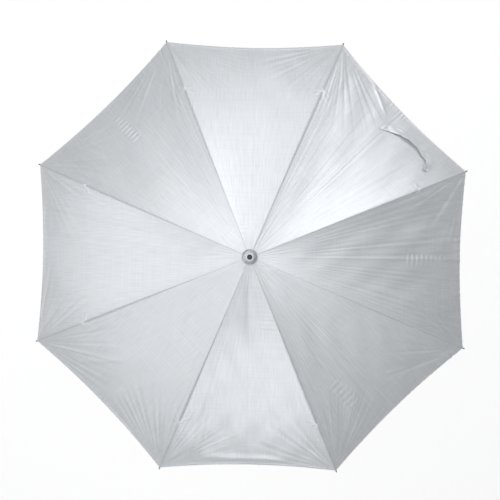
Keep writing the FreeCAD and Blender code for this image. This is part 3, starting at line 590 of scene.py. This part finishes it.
def makeRosette():
    # surface of revolution: a dish that climbs with the square of the way out, with a welt (radius, half
    # width, height) round the collar and a rolled edge, a circle of radius roll. Radial pleats,
    # sin(pleats * azimuth) and a quicker sine, deepen outwards and scallop the edge. The dish is tilted
    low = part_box("rosette")[0]
    turns = np.linspace(0, 2 * math.pi, rosette["segments"] + 1)[:-1]
    edge, roll = rosette["radius"], rosette["roll"]
    inner = np.linspace(rosette["boss"], edge - roll, rosette["rows"])
    share = (inner - rosette["boss"]) / (edge - roll - rosette["boss"])
    weltRadius, weltWidth, weltHeight = rosette["welt"]
    floorHeight = low.z + rosette["rise"]
    top = floorHeight + rosette["climb"] * share ** 2
    top += weltHeight * np.exp(-((inner - weltRadius) / weltWidth) ** 2)
    curlStart, curlEnd = rosette["curl"]
    curl = np.linspace(curlStart * math.pi, curlEnd * math.pi, rosette["curlRows"])
    radii = np.concatenate([inner, edge + roll * np.cos(curl), inner[::-1]])
    under = floorHeight - roll + rosette["climb"] * share[::-1] ** 2
    heights = np.concatenate([top, floorHeight + rosette["climb"] + roll * (np.sin(curl) - 1), under])
    wave = np.concatenate([share, np.ones(len(curl)), share[::-1]])[:, None]
    pleat = np.sin(rosette["pleats"] * turns)[None] + 0.5 * np.sin(2.3 * rosette["pleats"] * turns + 1)[None]
    radius = radii[:, None] * (1 + rosette["scallop"] * wave ** 2 * pleat)
    askew = rosette["tilt"] * radii[:, None] * wave * np.cos(turns - rosette["highSide"])[None]
    height = heights[:, None] + rosette["depth"] * wave ** 2 * pleat + np.maximum(askew, rosette["lowest"])
    grid = np.stack([radius * np.cos(turns), radius * np.sin(turns), height], -1)
    rows, columns = grid.shape[:2]
    quads = gridQuads(rows + 1, columns, closedAcross=True)      # the last row meets the first at the collar
    quads = np.where(quads >= rows * columns, quads - rows * columns, quads)[:, ::-1]
    piece = addPiece("rosette_cloth", grid.reshape(-1, 3), quads, lame, "root", 60)
    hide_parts("rosette")


makeRosette()


# Tie strap and its folded end, lying in a bend on the first piece of the cover

# points are (m from the shaft, degrees round it); lifts are heights over the cloth at the start, and so on
# to the end, of the edge nearer the hem and of the edge nearer the crown
strap = {
    "points": [(0.386, 46.3), (0.3925, 44.6), (0.399, 42.9), (0.4065, 40.6), (0.410, 39.0), (0.4145, 37.2),
               (0.418, 35.2), (0.4205, 33.4), (0.4205, 31.5), (0.424, 29.4)],
    "hemLifts": [0.0008, 0.0009, 0.0009, 0.0020, 0.0010, 0.0008, 0.0007, 0.0010, 0.0016, 0.0010],
    "crownLifts": [0.0008, 0.0010, 0.0022, 0.0040, 0.0062, 0.0074, 0.0070, 0.0060, 0.0040, 0.0018],
    "width": 0.012, "thickness": 0.0009, "rows": 141, "columns": 23, "edgeSeam": 0.0016, "groove": 0.00018,
}
strapEnd = {
    "points": [(0.4255, 29.9), (0.4190, 28.9), (0.4120, 28.1), (0.4040, 27.4)],
    "hemLifts": [0.0026, 0.0060, 0.0050, 0.0030], "crownLifts": [0.0024, 0.0056, 0.0092, 0.0074],
    "width": 0.0115, "thickness": 0.0009, "rows": 41, "columns": 23, "edgeSeam": 0.0016, "groove": 0.00018,
}
bandWave = {"height": 0.00035, "turns": 31, "grooveWidth": 0.0005}


def throughPoints(values, count):
    # Catmull-Rom through the rows of values: each span is the cubic of its four nearest rows
    values = np.asarray(values, float)
    padded = np.concatenate([2 * values[:1] - values[1:2], values, 2 * values[-1:] - values[-2:-1]])
    place = np.linspace(0, len(values) - 1, count)
    span = np.minimum(place.astype(int), len(values) - 2)
    t = (place - span)[:, None]
    a, b, c, d = (padded[span + shift] for shift in range(4))
    square, cube = 2 * a - 5 * b + 4 * c - d, 3 * b - a - 3 * c + d
    return 0.5 * (2 * b + (c - a) * t + square * t ** 2 + cube * t ** 3)


def onCover(radius, azimuth, lift):
    # a point over the first piece, on the side of the next gore: the plan place gives the rib's radius
    # x + y tan(halfGore) and the share y / (radius sin cos) of the hoop line. Past the middle of the gore
    # the place is mirrored there and back
    middle = firstAzimuth + halfGore
    beyond = azimuth > middle
    azimuth = middle - np.abs(azimuth - middle)
    x, y = radius * np.cos(azimuth - firstAzimuth), radius * np.sin(azimuth - firstAzimuth)
    along = x + y * sinHalf / cosHalf
    share = np.clip(y / (along * sinHalf * cosHalf), 0, 1)
    first = arcAt(canopy["innerRadius"], canopy["lift"])
    last = canopy["arcLength"] - canopy["hemPull"] * (1 - (1 - share) ** 2)
    arc = arcAt(along, canopy["lift"])
    points = coverHalf(0, 1, share, (arc - first) / (last - first))[0]
    normal = goreFacing(ribLine(arc, canopy["lift"])[2], 1)
    points = turnAbout(points + normal * lift[..., None], -halfGore)
    points[..., 1] = np.where(beyond, -points[..., 1], points[..., 1])
    return turnAbout(points, middle)


def makeBand(name, node, band):
    # across the band the lift goes from the crown's edge to the hem's edge in a slow S, and each edge is
    # rolled over and sewn, a groove that runs edgeSeam inside it. A low wave keeps it from lying dead flat
    route = throughPoints([(r * math.cos(math.radians(a)), r * math.sin(math.radians(a)))
                           for r, a in band["points"]], band["rows"])
    lifts = throughPoints(np.stack([band["crownLifts"], band["hemLifts"]], -1), band["rows"])
    ahead = np.gradient(route, axis=0)
    ahead /= np.linalg.norm(ahead, axis=1, keepdims=True)
    outward = np.stack([-ahead[:, 1], ahead[:, 0]], -1)
    side = np.linspace(-1, 1, band["columns"])
    place = route[:, None] + outward[:, None] * side[None, :, None] * band["width"] / 2
    share = (side + 1) / 2
    lift = lifts[:, :1] * (1 - smooth(0, 1, share)) + lifts[:, 1:] * smooth(0, 1, share)
    run = np.linspace(0, 1, band["rows"])[:, None]
    wave = bandWave["height"] * np.sin(bandWave["turns"] * run + 2 * side)
    lift = lift + wave * smooth(0, 0.2, run) * smooth(0, 0.1, 1 - run)
    seamGap = band["width"] / 2 * (1 - np.abs(side)) - band["edgeSeam"]
    lift = lift - band["groove"] * np.exp(-(seamGap / bandWave["grooveWidth"]) ** 2) + band["thickness"]
    x, y = place[..., 0], place[..., 1]
    grid = onCover(np.hypot(x, y), np.arctan2(y, x), lift)
    points, quads = sheetShell(grid, band["thickness"])
    piece = addPiece(name, points, quads, strapSatin, "rib_1", 40)
    length = float(np.linalg.norm(np.diff(grid[:, band["columns"] // 2], axis=0), axis=1).sum())
    width = float(np.linalg.norm(np.diff(grid, axis=1), axis=2).sum(axis=1).mean())    # more than in plan
    u = np.tile(np.broadcast_to(side * width / 2, (band["rows"], band["columns"])).ravel(), 2)
    v = np.tile(np.broadcast_to(run * length, (band["rows"], band["columns"])).ravel(), 2)
    addClothMap(piece, u, v, quads)
    foldWithRib(piece)
    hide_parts(node)
    print("%s is %.0f mm long and %.1f mm wide" % (name, length / mm, width / mm))
    return grid, length


# Threads: the strap's box stitch and the ties that hold the cover to the ribs

sewing = {"radius": 0.00022, "stitch": 0.0017, "gap": 0.0006, "box": (0.0012, 0.0105, 0.0046), "tieTurns": 3,
          "tiePitch": 0.0006, "tieReach": (0.0018, 0.0023), "tieLift": 0.00045}
tape = {"width": 0.0065, "gap": 0.0006, "droop": 0.0007, "arc": (0.03, 0.50), "rows": 170, "columns": 7,
        "thickness": 0.0002}


def addTubes(name, paths, radius, body, sides=7):
    # round threads along an array of paths (n x rows x 3): a ring about each point, narrowed and capped at
    # the ends
    ahead = np.gradient(paths, axis=1)
    ahead /= np.linalg.norm(ahead, axis=-1, keepdims=True)
    helper = np.where(np.abs(ahead[..., 2:]) < 0.9, np.array([0, 0, 1.0]), np.array([1.0, 0, 0]))
    first = np.cross(helper, ahead)
    first /= np.linalg.norm(first, axis=-1, keepdims=True)
    second = np.cross(ahead, first)
    turn = np.linspace(0, 2 * math.pi, sides + 1)[:-1, None]
    count, rows = paths.shape[:2]
    fromEnd = np.minimum(np.arange(rows), np.arange(rows)[::-1])
    taper = np.minimum(1, 0.55 + 0.45 * fromEnd)[:, None, None]
    ring = first[..., None, :] * np.cos(turn) + second[..., None, :] * np.sin(turn)
    points = (paths[..., None, :] + ring * radius * taper).reshape(-1, 3)
    faces = np.concatenate([gridQuads(rows, sides, n * rows * sides, True) for n in range(count)]).tolist()
    around = np.arange(sides)
    for n in range(count):
        faces.append((n * rows * sides + around[::-1]).tolist())
        faces.append(((n + 1) * rows * sides - sides + around).tolist())
    return addPiece(name, points, faces, thread, body)


def onGrid(grid, across, along, width, length):
    # the point of a band's grid at a place in metres from its middle line and its start, between four corners
    row = np.clip(along / length * (grid.shape[0] - 1), 0, grid.shape[0] - 1.001)
    column = np.clip((across / width + 0.5) * (grid.shape[1] - 1), 0, grid.shape[1] - 1.001)
    i, j = row.astype(int), column.astype(int)
    a, b = (row - i)[..., None], (column - j)[..., None]
    return (grid[i, j] * (1 - a) * (1 - b) + grid[i, j + 1] * (1 - a) * b
            + grid[i + 1, j] * a * (1 - b) + grid[i + 1, j + 1] * a * b)


def sewBox(grid, length):
    # stitches round a box and over its two diagonals; each rises sin(pi t) by a thread's width
    low, high, half = sewing["box"]
    corners = [(-half, low), (half, low), (half, high), (-half, high)]
    lines = [(corners[i], corners[(i + 1) % 4]) for i in range(4)]
    lines += [(corners[0], corners[2]), (corners[1], corners[3])]
    pitch = sewing["stitch"] + sewing["gap"]
    starts, ends = [], []
    for start, end in lines:
        start, end = np.array(start), np.array(end)
        run = np.linalg.norm(end - start)
        for n in range(int(run / pitch)):
            starts.append(start + (end - start) * (n * pitch + sewing["gap"]) / run)
            ends.append(start + (end - start) * (n + 1) * pitch / run)
    t = np.linspace(0, 1, 6)[None, :, None]
    flat = np.array(starts)[:, None] * (1 - t) + np.array(ends)[:, None] * t
    paths = onGrid(grid, flat[..., 0], flat[..., 1], strap["width"], length)
    paths[..., 2] += sewing["radius"] * (1.6 * np.sin(math.pi * t[..., 0]) - 0.2)
    piece = addTubes("strap_stitches", paths, sewing["radius"], "rib_1")
    foldWithRib(piece)


def tieRib(number):
    # a few turns of thread round the rod and through the cover: an ellipse carried along the rib
    turn = np.linspace(0.25, sewing["tieTurns"] + 0.25, 28 * sewing["tieTurns"]) * 2 * math.pi
    side, rise = sewing["tieReach"]
    arc = canopy["tackAt"] + sewing["tiePitch"] * (turn / (2 * math.pi) - sewing["tieTurns"] / 2)
    radius, height = ribLine(arc, sewing["tieLift"] + rise * np.sin(turn))[:2]
    path = np.stack([radius, side * np.cos(turn), height], -1)
    paths = turnAbout(path, ribAzimuths[number])[None]
    piece = addTubes("rib_tie_%d" % (number + 1), paths, sewing["radius"], "rib_%d" % (number + 1), 8)


def tapeSeam(number):
    # the seam's raw edges, folded to one side under the cover: width wide, and lower at the free edge by
    # droop times a slow wave
    arc, across = np.meshgrid(np.linspace(*tape["arc"], tape["rows"]),
                              np.linspace(0.0, tape["width"], tape["columns"]), indexing="ij")
    radius = ribLine(arc, canopy["lift"])[0]
    first = arcAt(canopy["innerRadius"], canopy["lift"])
    share = across / (radius * sinHalf * cosHalf)
    grid = coverHalf(number, -1, share, (arc - first) / (canopy["arcLength"] - first), False)[0]
    free = across / tape["width"]
    waves = 1 + 0.6 * np.sin(arc / 0.011 + number) + 0.4 * np.sin(arc / 0.0047)
    grid[..., 2] -= canopy["thickness"] + tape["gap"] + tape["droop"] * free ** 2 * waves
    points, quads = sheetShell(turnAbout(grid, ribAzimuths[number])[:, ::-1], tape["thickness"])
    piece = addPiece("seam_allowance_%d" % (number + 1), points, quads, strapSatin,
                     "rib_%d" % (number + 1), 50)
    addClothMap(piece, np.tile(across[:, ::-1].ravel(), 2), np.tile(arc[:, ::-1].ravel(), 2), quads)
    foldWithRib(piece)
    return piece


strapGrid, strapLength = makeBand("strap", "tie_strap", strap)
makeBand("strap_end", "strap_tab", strapEnd)
sewBox(strapGrid, strapLength)
# a thread tie and the folded seam edges for each rib
for number, cover in enumerate(covers):
    tieRib(number)
    tapeSeam(number)
print("rosette, strap and threads done")


# Floor, light and camera

stage = {"floorDrop": 0.9, "floorSize": 60.0, "floorTone": "F4F4F4", "floorGlow": 0.5, "fibreScale": 40.0,
         "ambient": 0.03, "backdrop": 0.95, "lampDrop": 0.1, "farthest": 60.0}
# soft boxes: azimuth and elevation (degrees), distance, width, height (m), watts
softBoxes = {
    "overhead": (60, 84, 1.7, 3.0, 3.0, 35.0),
    "key": (62, 25, 2.3, 1.4, 1.4, 14.0),
    "keyEdge": (20, 25, 2.3, 1.4, 1.4, 3.0),
    "back": (105, 25, 2.3, 1.4, 1.4, 7.5),
    "backLeft": (150, 25, 2.3, 1.4, 1.4, 3.0),
    "backHigh": (150, 52, 2.1, 1.4, 1.4, 3.5),
    "left": (182, 25, 2.3, 1.4, 1.4, 8.5),
    "frontLeft": (225, 25, 2.3, 1.4, 1.4, 6.5),
    "front": (268, 25, 2.3, 1.4, 1.4, 11.0),
    "frontRight": (315, 25, 2.3, 1.4, 1.4, 3.0),
}
view = {
    "aim": (-0.0029, 0.0132, 0.488),   # point at the middle of the picture, in the hem's plane
    "lean": (3.46, 1.0, 260.0),        # direction from the aim up to the camera
    "distance": 4.73, "fieldWidth": 1.0594, "roll": 0.95,
}


def pointAt(place, target, roll=0.0):
    # a placement at place whose -Z looks at target; roll turns its X counterclockwise from world +X
    back = (place - target).normalized()
    right = Vector((math.cos(roll), math.sin(roll), 0))
    if abs(back.z) < 0.9:
        right = Vector((0, 0, 1)).cross(back)
    right = (right - back * right.dot(back)).normalized()
    up = back.cross(right)
    return Matrix.Translation(place) @ Matrix((right, up, back)).transposed().to_4x4()


def makeFloor():
    # a square sheet of paper, floorDrop below the lowest point of the CAD box
    points = np.array([(-1, -1, 0), (1, -1, 0), (1, 1, 0), (-1, 1, 0)], float) * stage["floorSize"] / 2
    points[:, 2] = cadBox[0][2] - stage["floorDrop"]
    tone = linear(stage["floorTone"])
    # matt white paper sweep, lit enough from behind to stay white
    material, tree, shader = newMaterial("white paper sweep", {
        "Roughness": 0.9, "Emission Color": tone, "Emission Strength": stage["floorGlow"]})
    place = addNode(tree, "ShaderNodeTexCoord")
    fibre = addNode(tree, "ShaderNodeTexNoise", {"Scale": stage["fibreScale"], "Detail": 3.0},
                    {"Vector": (place, "Object")})
    paper = addNode(tree, "ShaderNodeValToRGB", {}, {"Fac": (fibre, "Fac")})
    paper.color_ramp.elements[0].color = linear("F0F0F0")
    paper.color_ramp.elements[1].color = linear("F7F7F7")
    tree.links.new(paper.outputs["Color"], shader.inputs["Base Color"])
    mesh = bpy.data.meshes.new("floor")
    mesh.from_pydata(points.tolist(), [], [(0, 1, 2, 3)])
    mesh.materials.append(material)
    floor = bpy.data.objects.new("floor", mesh)
    bpy.context.scene.collection.objects.link(floor)


def makeSoftBox(name, azimuth, elevation, distance, width, height, watts):
    # a square lamp at an azimuth and elevation about a point lampDrop below the crown, turned to face it
    lamp = bpy.data.lights.new(name, "AREA")
    lamp.shape = "RECTANGLE"
    lamp.size, lamp.size_y = width, height
    lamp.energy = watts
    box = bpy.data.objects.new(name, lamp)
    turn, rise = math.radians(azimuth), math.radians(elevation)
    centre = Vector((0, 0, crownHeight - stage["lampDrop"]))
    outward = Vector((math.cos(rise) * math.cos(turn), math.cos(rise) * math.sin(turn), math.sin(rise)))
    place = centre + distance * outward
    box.matrix_world = pointAt(place, centre)
    box.visible_camera = False
    bpy.context.scene.collection.objects.link(box)


makeFloor()
for name, settings in softBoxes.items():
    makeSoftBox(name, *settings)
world = bpy.data.worlds.new("studio")
world.use_nodes = True
tree = world.node_tree
dim = tree.nodes["Background"]                # what lights the object, and beside it what the camera sees
dim.inputs["Color"].default_value = linear("F2F6FA")
dim.inputs["Strength"].default_value = stage["ambient"]
pale = addNode(tree, "ShaderNodeBackground", {"Color": linear("FAFBFC"), "Strength": stage["backdrop"]})
path = addNode(tree, "ShaderNodeLightPath")
mix = addNode(tree, "ShaderNodeMixShader", {}, {0: (path, "Is Camera Ray"), 1: (dim, 0), 2: (pale, 0)})
tree.links.new(mix.outputs[0], tree.nodes["World Output"].inputs["Surface"])
scene = bpy.context.scene
scene.world = world
scene.view_settings.view_transform = "Standard"

lens = bpy.data.cameras.new("camera")
lens.sensor_width = 36.0
lens.angle = 2 * math.atan(view["fieldWidth"] / 2 / view["distance"])
lens.clip_end = stage["farthest"]
camera = bpy.data.objects.new("camera", lens)
aim = Vector(view["aim"])
camera.matrix_world = pointAt(aim + Vector(view["lean"]).normalized() * view["distance"], aim,
                              math.radians(view["roll"]))
scene.collection.objects.link(camera)
scene.camera = camera
print("stage done")
